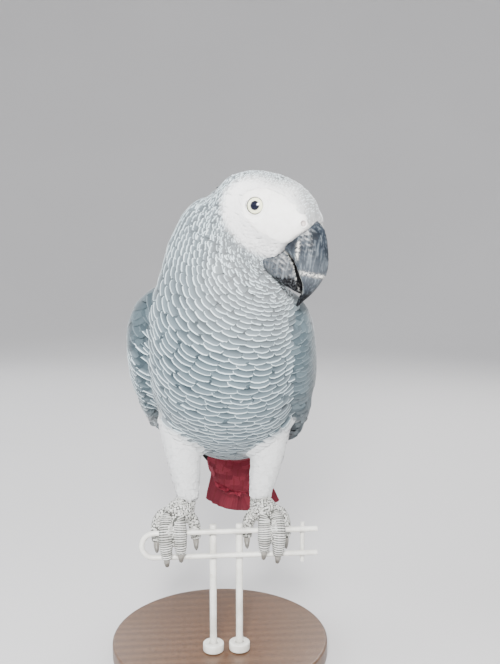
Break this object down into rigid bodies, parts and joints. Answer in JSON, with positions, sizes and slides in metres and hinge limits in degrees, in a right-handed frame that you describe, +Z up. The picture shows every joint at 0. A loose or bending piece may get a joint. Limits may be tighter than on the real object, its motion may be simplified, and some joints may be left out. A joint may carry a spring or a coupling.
{
  "type": "parrot model",
  "caption": "Life-size grey parrot with a red tail, head turned aside, gripping a short bent wire rail on a round display stand.",
  "frame": {"origin": "centre of the round base's underside, on the floor", "axes": "+Z up; the perch runs along X; the breast faces -Y, turned a little to -X; the bird's left side is at +X"},
  "size_m": [0.128, 0.167, 0.2811],
  "materials": {
    "plumage": "matte grey feathers with pale rims",
    "face_plumage": "fine near-white feathers",
    "flight_feathers": "smooth slate-grey vanes",
    "red_feathers": "matte crimson vanes",
    "bill_horn": "worn dark horn with chalky patches",
    "eye": "wet gloss, cream iris round a black pupil",
    "leg_skin": "small pale scutes with dark grooves",
    "claw_horn": "worn grey-brown horn",
    "wire_paint": "off-white paint with specks of rust",
    "walnut": "oiled walnut"
  },
  "bodies": {
    "root": {"trunk": "plumage", "neck": "plumage", "head": "face_plumage", "bill_upper": "bill_horn", "bill_lower": "bill_horn", "tail_coverts": "red_feathers", "tail": "red_feathers", "perch_rail": "wire_paint", "perch_upright": "wire_paint", "stand_base": "walnut", "eye_left": "eye", "thigh_left": "face_plumage", "foot_left": "leg_skin", "wing_left": "plumage", "wing_tip_left": "flight_feathers", "stand_rod_left": "wire_paint", "stand_collar_left": "wire_paint", "toe_left_front_inner": "leg_skin", "claw_left_front_inner": "claw_horn", "toe_left_front_outer": "leg_skin", "claw_left_front_outer": "claw_horn", "toe_left_back_inner": "leg_skin", "claw_left_back_inner": "claw_horn", "toe_left_back_outer": "leg_skin", "claw_left_back_outer": "claw_horn", "eye_right": "eye", "thigh_right": "face_plumage", "foot_right": "leg_skin", "wing_right": "plumage", "wing_tip_right": "flight_feathers", "stand_rod_right": "wire_paint", "stand_collar_right": "wire_paint", "toe_right_front_inner": "leg_skin", "claw_right_front_inner": "claw_horn", "toe_right_front_outer": "leg_skin", "claw_right_front_outer": "claw_horn", "toe_right_back_inner": "leg_skin", "claw_right_back_inner": "claw_horn", "toe_right_back_outer": "leg_skin", "claw_right_back_outer": "claw_horn"}
  },
  "joints": []
}
